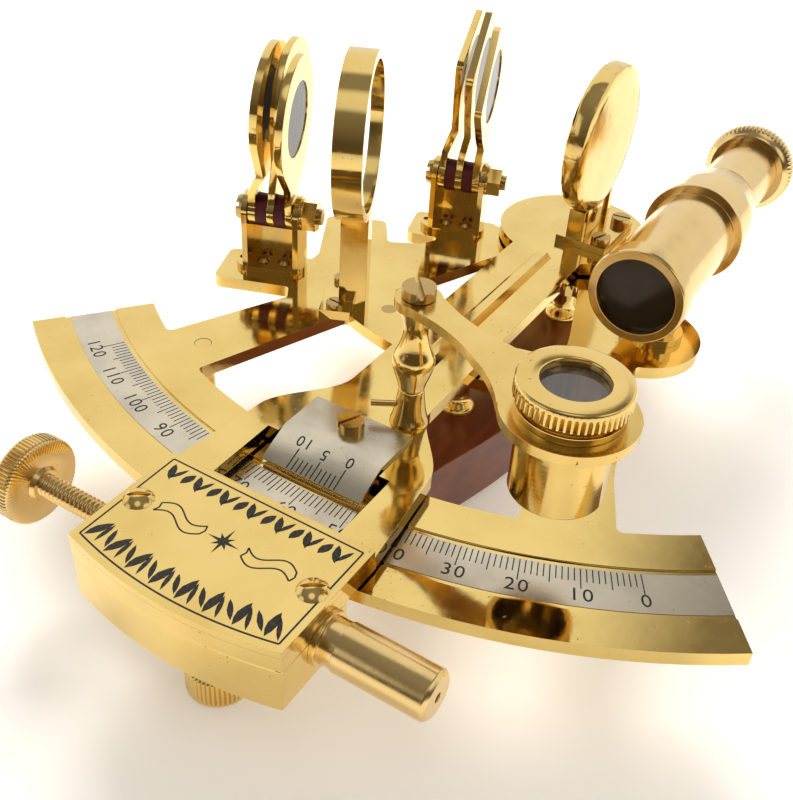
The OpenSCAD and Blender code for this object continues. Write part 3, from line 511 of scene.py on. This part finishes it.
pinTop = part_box("magnifier_arm")[1][2] / mm + 0.1
postRows = [(post["root"], post["rootRadius"], 0), (post["base"], post["rootRadius"], 0)]
postRows += [(post["base"] + h, r, 0) for h, r in smoothRows(post["rows"])]
postRows += [(post["shoulder"], post["pinRadius"], 0), (pinTop, post["pinRadius"], 0)]
postSkin = lathe(postRows, steps=post["steps"], centre=(postAt[0], postAt[1], 0))
turnedPiece("magnifier_post", [postSkin], "turnedZ", post["sharp"], "index_arm")

# eyepiece ring
eye = {"back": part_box("eyepiece_ring")[1][1] / mm, "radius": 11.8, "hole": 5.6, "inner": 6.2,
       "sleeve": 7.35, "start": 29.1, "step": 35.1, "teeth": 60, "knurl": 0.4, "centre": (34, 0, 48)}
e = eye
back, wide, hole, inner = e["back"], e["radius"], e["hole"], e["inner"]
ringRows = [
    (e["start"], e["sleeve"], 0), (e["step"], e["sleeve"], 0), (e["step"], 9.9, 0), (35.6, 10.4, 0),
    (36.3, 10.7, 0), (36.6, 11.2, 0), (36.9, 11.6, 0.7), (37.2, wide, 1), (39.1, wide, 1),
    (39.4, 11.65, 0.6), (39.6, 11.3, 0), (40.3, 10.9, 0), (back, 10.2, 0), (back, 9.4, 0), (40.2, 8.6, 0),
    (39.2, 7.2, 0), (38.4, 5.9, 0), (38, hole, 0), (35, hole, 0), (35, inner, 0), (32, inner, 0),
    (32, hole, 0), (e["start"], hole, 0)]
ringSkin = lathe(ringRows, e["teeth"], e["knurl"], axis="Y", centre=e["centre"], closed=True)
turnedPiece("eyepiece_ring", [ringSkin], "turnedY", 40)

# index mirror case: filed rim, recess for the glass behind
mirror = {"x": 1.5, "thick": 5, "y": -2, "z": 62, "radius": 19, "recess": 17, "recessDeep": 2.0,
          "steps": 120, "neckHalf": 5, "neckLow": 36.2, "neckHigh": 46.5, "neckEase": 0.4}
m = mirror
steps = m["steps"]
points, faces = [], []
near, far, rim = m["x"], m["x"] + m["thick"], m["radius"]
pocket = near + m["recessDeep"]
rimRows = [
    (pocket, 0.3), (pocket, m["recess"]), (near, m["recess"]), (near, rim - 0.6), (near + 0.4, rim - 0.15),
    (near + 1.3, rim), (near + 2.6, rim), (near + 3.8, rim - 0.05), (far - 0.35, rim - 0.2),
    (far, rim - 0.75), (far + 0.02, rim - 4), (far, 0.3)]
for x, r in rimRows:
    for i in range(steps):
        a = turn * i / steps
        filed = 0
        if r > rim - 1:
            cell = Vector((math.cos(a) * 5.5, math.sin(a) * 5.5, x * 0.55))
            filed = 0.34 * noise.noise(cell) + 0.16 * noise.noise(cell * 2.7)
            filed = min(0, filed - 0.1)
        r2 = r + filed
        points.append((x + 0.12 * filed, m["y"] + r2 * math.cos(a), m["z"] + r2 * math.sin(a)))
for row in range(len(rimRows) - 1):
    for i in range(steps):
        j = (i + 1) % steps
        faces.append((row * steps + i, row * steps + j, (row + 1) * steps + j, (row + 1) * steps + i))
faces.append(tuple(range(steps - 1, -1, -1)))
faces.append(tuple((len(rimRows) - 1) * steps + i for i in range(steps)))


def block(x0, x1, y0, y1, z0, z1):
    corners = [(x, y, z) for z in (z0, z1) for y in (y0, y1) for x in (x0, x1)]
    return corners, [(0, 2, 3, 1), (4, 5, 7, 6), (0, 1, 5, 4), (2, 6, 7, 3), (0, 4, 6, 2), (1, 3, 7, 5)]


def eased(mesh, width, segments=2, angle=40):
    shape = bmesh.new()
    shape.from_mesh(mesh)
    bmesh.ops.recalc_face_normals(shape, faces=shape.faces)
    edges = [e for e in shape.edges if e.calc_face_angle(0) > math.radians(angle)]
    bmesh.ops.bevel(shape, geom=edges, offset=width * mm, segments=segments, profile=0.6, affect="EDGES",
                    clamp_overlap=True)
    shape.to_mesh(mesh)
    shape.free()
    return mesh


turnedPiece("index_mirror_case", [(points, faces)], "cast", 40, "index_arm", "filed")
neckSides = (m["y"] - m["neckHalf"], m["y"] + m["neckHalf"])
neck = joined("mirrorNeck", block(near + 0.6, far - 0.4, *neckSides, m["neckLow"], m["neckHigh"]))
addPiece("index_mirror_case.neck", eased(neck, m["neckEase"]), "index_arm", "cast")
print("turned pieces made")

# graduations: black-filled cuts standing a hair above the silver
scale = {"radius": 125.2, "short": 3.2, "middle": 4.4, "long": 5.0, "width": 0.22, "last": 120, "step": 0.5,
         "zero": 300, "digits": 4.2, "digitRadius": 131.7, "digitSunk": 0.04, "top": 30.0, "proud": 0.02,
         "sunk": 0.08}


def bar(a, b, width, low, high):
    # a thin upright strip from point a to point b
    dx, dy = b[0] - a[0], b[1] - a[1]
    n = math.hypot(dx, dy)
    ox, oy = -dy / n * width / 2, dx / n * width / 2
    flat = [(a[0] - ox, a[1] - oy), (b[0] - ox, b[1] - oy), (b[0] + ox, b[1] + oy), (a[0] + ox, a[1] + oy)]
    return prism(flat, low, high)


def prism(flat, low, high):
    n = len(flat)
    area = sum(flat[i][0] * flat[(i + 1) % n][1] - flat[(i + 1) % n][0] * flat[i][1] for i in range(n))
    flat = flat if area > 0 else flat[::-1]
    points = [(x, y, low) for x, y in flat] + [(x, y, high) for x, y in flat]
    faces = [tuple(range(n - 1, -1, -1)), tuple(range(n, 2 * n))]
    return points, faces + [(i, (i + 1) % n, n + (i + 1) % n, n + i) for i in range(n)]


def numeral(words, size, matrix):
    # generic dial figures, as mesh
    curve = bpy.data.curves.new("figure", "FONT")
    curve.body = words
    curve.size = size
    curve.align_x = "CENTER"
    curve.align_y = "CENTER"
    curve.extrude = 0.06
    curve.space_character = 1.15
    curve.resolution_u = 3
    holder = bpy.data.objects.new("figure", curve)
    bpy.context.scene.collection.objects.link(holder)
    bpy.context.view_layer.update()
    mesh = bpy.data.meshes.new_from_object(holder.evaluated_get(bpy.context.evaluated_depsgraph_get()))
    points = [tuple(matrix @ v.co) for v in mesh.vertices]
    faces = [tuple(p.vertices) for p in mesh.polygons]
    bpy.data.objects.remove(holder)
    bpy.data.curves.remove(curve)
    bpy.data.meshes.remove(mesh)
    return points, faces


s = scale
marks = []
for unit in range(s["last"] + 1):
    a = math.radians(s["zero"] - s["step"] * unit)
    length = s["long"] if unit % 10 == 0 else s["middle"] if unit % 5 == 0 else s["short"]
    length *= 1 + random.uniform(-0.03, 0.03)
    ray = (math.cos(a), math.sin(a))
    start, end = [s["radius"] * v for v in ray], [(s["radius"] + length) * v for v in ray]
    marks.append(bar(start, end, s["width"], s["top"] - s["sunk"], s["top"] + s["proud"]))
    if unit % 10 == 0:
        spot = (s["digitRadius"] * ray[0], s["digitRadius"] * ray[1], s["top"] - s["digitSunk"])
        spin = Matrix.Translation(spot) @ Matrix.Rotation(a + math.pi / 2, 4, "Z")
        marks.append(numeral(str(unit), s["digits"], spin))
addPiece("scale_graduations", joined("graduations", *marks), "frame", "fill", sharp=20)

vernier = {"edge": -123.61, "edgeZ": 31.45, "slope": 25, "width": 0.26, "left": -5.7, "right": 5.5,
           "short": 3.0, "five": 4.2, "long": 4.9, "digits": 3.4, "splay": 0.985, "digitGap": 1.75}
v = vernier
tilt = Matrix.Translation((0, v["edge"], v["edgeZ"])) @ Matrix.Rotation(math.radians(v["slope"]), 4, "X")
marks = []
for i in range(11):
    x = v["right"] + (v["left"] - v["right"]) * i / 10
    length = v["long"] if i in (0, 10) else v["five"] if i == 5 else v["short"]
    p, f = bar((x, 0.15), (x * v["splay"], length), v["width"], -0.08, 0.03)
    marks.append(([tuple(tilt @ Vector(q)) for q in p], f))
    if i % 5 == 0:
        across = x * v["splay"] + (0.3 if i == 10 else 0)
        shift = Matrix.Translation((across, length + v["digitGap"], -0.03))
        marks.append(numeral(str(i), v["digits"], tilt @ shift @ Matrix.Rotation(math.pi, 4, "Z")))
addPiece("vernier_graduations", joined("vernierMarks", *marks), "index_arm", "fill", sharp=20)
print("graduations cut")

# engraved cover: border line, scroll rows and a star between ribbons
cover = {"half": 23, "back": -136, "front": -163, "bulge": 3.2, "top": 35.7, "inset": 1.5, "line": 0.36,
         "proud": 0.02, "sunk": 0.1, "borderSteps": 20, "windowRow": (13, 18.6, -140.4),
         "edgeRow": (15, 18.9, 5.0), "starY": -149.2, "starPoints": 16, "ribbonY": -149.0, "ribbonLine": 0.32,
         "ribbonWidth": 2.3, "ribbonSteps": 18}
g = cover
high = g["top"] + g["proud"]
low = g["top"] - g["sunk"]


def frontEdge(x, inset=0.0):
    u = x / g["half"]
    return g["front"] - g["bulge"] * (1 - u * u) + inset


cuts = []
edge = g["half"] - g["inset"]
outline = [(-edge, g["back"] - g["inset"]), (edge, g["back"] - g["inset"])]
for i in range(g["borderSteps"] + 1):
    x = edge - 2 * edge * i / g["borderSteps"]
    outline.append((x, frontEdge(x, g["inset"] + 0.2)))
for a, b in zip(outline, outline[1:] + outline[:1]):
    cuts.append(bar(a, b, g["line"], low, high))


def leaf(x, y, length, width, angle):
    # a pointed leaf, fat in its middle
    outlineRows = [(-0.5, 0), (-0.25, 0.38), (0, 0.5), (0.3, 0.3),
                   (0.5, 0), (0.25, -0.34), (0, -0.42), (-0.25, -0.3)]
    ca, sa = math.cos(angle), math.sin(angle)
    sized = [(u * length, w * width) for u, w in outlineRows]
    return prism([(x + ca * u - sa * w, y + sa * u + ca * w) for u, w in sized], low, high)


count, reach, y = g["windowRow"]
for i in range(count):                             # row beside the window
    x = -reach + 2 * reach * i / (count - 1)
    if i % 2:
        cuts.append(leaf(x, y, 3.6, 1.9, math.radians(70)))
    else:
        cuts.append(leaf(x - 0.7, y, 4.4, 1.7, math.radians(112)))
        cuts.append(leaf(x + 0.8, y + 0.2, 4.0, 1.0, math.radians(66)))
count, reach, inset = g["edgeRow"]
for i in range(count):                             # row along the bulged edge
    x = -reach + 2 * reach * i / (count - 1)
    y = frontEdge(x, inset)
    lean = math.radians(90 + 0.9 * x)
    if i % 2:
        cuts.append(leaf(x, y, 4.6, 1.2, lean + 0.5))
    else:
        cuts.append(leaf(x - 0.6, y, 5.6, 1.9, lean - 0.2))
        cuts.append(leaf(x + 0.9, y - 0.2, 5.0, 1.0, lean + 0.22))
star = []
for i in range(g["starPoints"]):                   # eight-pointed compass star
    r = (3.4 if i % 4 == 0 else 2.2) if i % 2 == 0 else 0.9
    a = turn * i / g["starPoints"] + math.pi / 2
    star.append((r * math.cos(a), g["starY"] + r * math.sin(a)))
cuts.append(prism(star, low, high))


def ribbon(start, end, rise):
    # two wavy lines and closed ends
    steps, mid, width, line = g["ribbonSteps"], g["ribbonY"], g["ribbonWidth"], g["ribbonLine"]
    for side in (-0.5, 0.5):
        last = None
        for i in range(steps + 1):
            f = i / steps
            x = start + (end - start) * f
            y = mid + rise * math.sin(turn * f) + side * width
            if last:
                cuts.append(bar(last, (x, y), line, low, high))
            last = (x, y)
    for x in (start, end):
        cuts.append(bar((x, mid - width / 2), (x + 0.4, mid), line, low, high))
        cuts.append(bar((x + 0.4, mid), (x, mid + width / 2), line, low, high))


ribbon(-15.2, -4.6, 1.2)
ribbon(4.6, 14.8, -1.2)
addPiece("cover_engraving", joined("coverEngraving", *cuts), "index_arm", "fill", sharp=20)
print("cover engraved")

# camera, floor and light
eyeView = {"lens": 46.73, "sensor": 36, "near": 0.01, "at": (0.08755, -0.24650, 0.16578),
           "right": (0.8476, 0.5277, 0.0558), "down": (0.3571, -0.4895, -0.7955),
           "ahead": (-0.3925, 0.6942, -0.6034)}
lensData = bpy.data.cameras.new("camera")
lensData.lens = eyeView["lens"]
lensData.sensor_width = eyeView["sensor"]
lensData.clip_start = eyeView["near"]
camera = bpy.data.objects.new("camera", lensData)
bpy.context.scene.collection.objects.link(camera)
right, down, ahead = (Vector(eyeView[way]) for way in ("right", "down", "ahead"))
pose = Matrix((right, -down, -ahead)).transposed().to_4x4()
pose.translation = Vector(eyeView["at"])
camera.matrix_world = pose
bpy.context.scene.camera = camera

floorReach = 4
floorMesh = bpy.data.meshes.new("floor")
corners = [(floorReach * x, floorReach * y, 0) for x, y in ((-1, -1), (1, -1), (1, 1), (-1, 1))]
floorMesh.from_pydata(corners, [], [(0, 1, 2, 3)])
floor = bpy.data.objects.new("floor", floorMesh)
bpy.context.scene.collection.objects.link(floor)
floorBoard = Board("paleFloor")
floorDrift = floorBoard.cloud(floorBoard.place(), 3, 2)
floorTone = floorBoard.blend(floorDrift, (0.93, 0.91, 0.88), (0.91, 0.89, 0.86))
floorMesh.materials.append(floorBoard.finish(
    Base_Color=floorTone, Roughness=0.8, Specular_IOR_Level=0.2,
    Emission_Color=(1.0, 0.97, 0.91), Emission_Strength=0.24))

lampAim = Vector((0, -0.06, 0.03))
studio = {
    "key": {"at": (-0.50, 0.45, 0.75), "size": 0.45, "power": 9, "tint": (1, 0.97, 0.92)},
    "fill": {"at": (0.75, -0.25, 0.60), "size": 0.6, "power": 1.6, "tint": (1, 0.97, 0.92)},
    "back": {"at": (0.25, 0.95, 0.45), "size": 0.8, "power": 2, "tint": (1, 0.99, 0.97)},
}
for name, lampLook in studio.items():
    light = bpy.data.lights.new(name, "AREA")
    light.size = lampLook["size"]
    light.energy = lampLook["power"]
    light.color = lampLook["tint"]
    lamp = bpy.data.objects.new(name, light)
    bpy.context.scene.collection.objects.link(lamp)
    lamp.location = lampLook["at"]
    lamp.visible_glossy = False                    # the metal mirrors the room, not the lamps
    lamp.rotation_mode = "QUATERNION"
    lamp.rotation_quaternion = (lampAim - Vector(lampLook["at"])).to_track_quat("-Z", "Y")

# the room: a white backdrop behind, bright panels, dark ceiling and dark side behind the camera
room = {"dark": (0.10, 0.075, 0.05), "light": (1.0, 0.98, 0.95), "strength": 1.0,
        "ceiling": 0.22, "backdrop": 0.95,
        "panels": [((-0.55, 0.50, 0.67), 0.86, 0.93, 1.1), ((0.80, 0.10, 0.55), 0.93, 0.97, 0.9),
                   ((-0.55, -0.75, 0.35), 0.94, 0.975, 0.8), ((0.15, -0.35, 0.92), 0.95, 0.98, 0.7)]}


class Sky(Board):
    # the same board, for the world's nodes
    def __init__(self, name):
        self.material = bpy.data.worlds.new(name)
        self.material.use_nodes = True
        self.tree = self.material.node_tree
        self.shader = self.tree.nodes["Background"]


sky = Sky("studioRoom")
bpy.context.scene.world = sky.material
facing = sky.node("ShaderNodeTexCoord", out="Generated")
sideways = sky.node("ShaderNodeSeparateXYZ", {}, {0: facing}, 0)
away = sky.node("ShaderNodeSeparateXYZ", {}, {0: facing}, 1)
up = sky.node("ShaderNodeSeparateXYZ", {}, {0: facing}, 2)
backdrop = sky.ramp(away - 0.45 * sideways, -0.25, 0.15) * (1 - sky.ramp(up, 0.50, 0.66)) * room["backdrop"]
glow = room["ceiling"] * sky.ramp(up, 0.2, 1.0) + backdrop
for direction, low, high, amount in room["panels"]:
    heading = Vector(direction).normalized()
    lit = sky.node("ShaderNodeVectorMath", {"operation": "DOT_PRODUCT"}, {0: facing, 1: heading}, 1)
    glow = glow + amount * sky.ramp(lit, low, high)
sky.finish(Color=sky.blend(glow, room["dark"], room["light"]), Strength=room["strength"])
bpy.context.scene.view_settings.view_transform = "Standard"
print("camera, floor and light set")
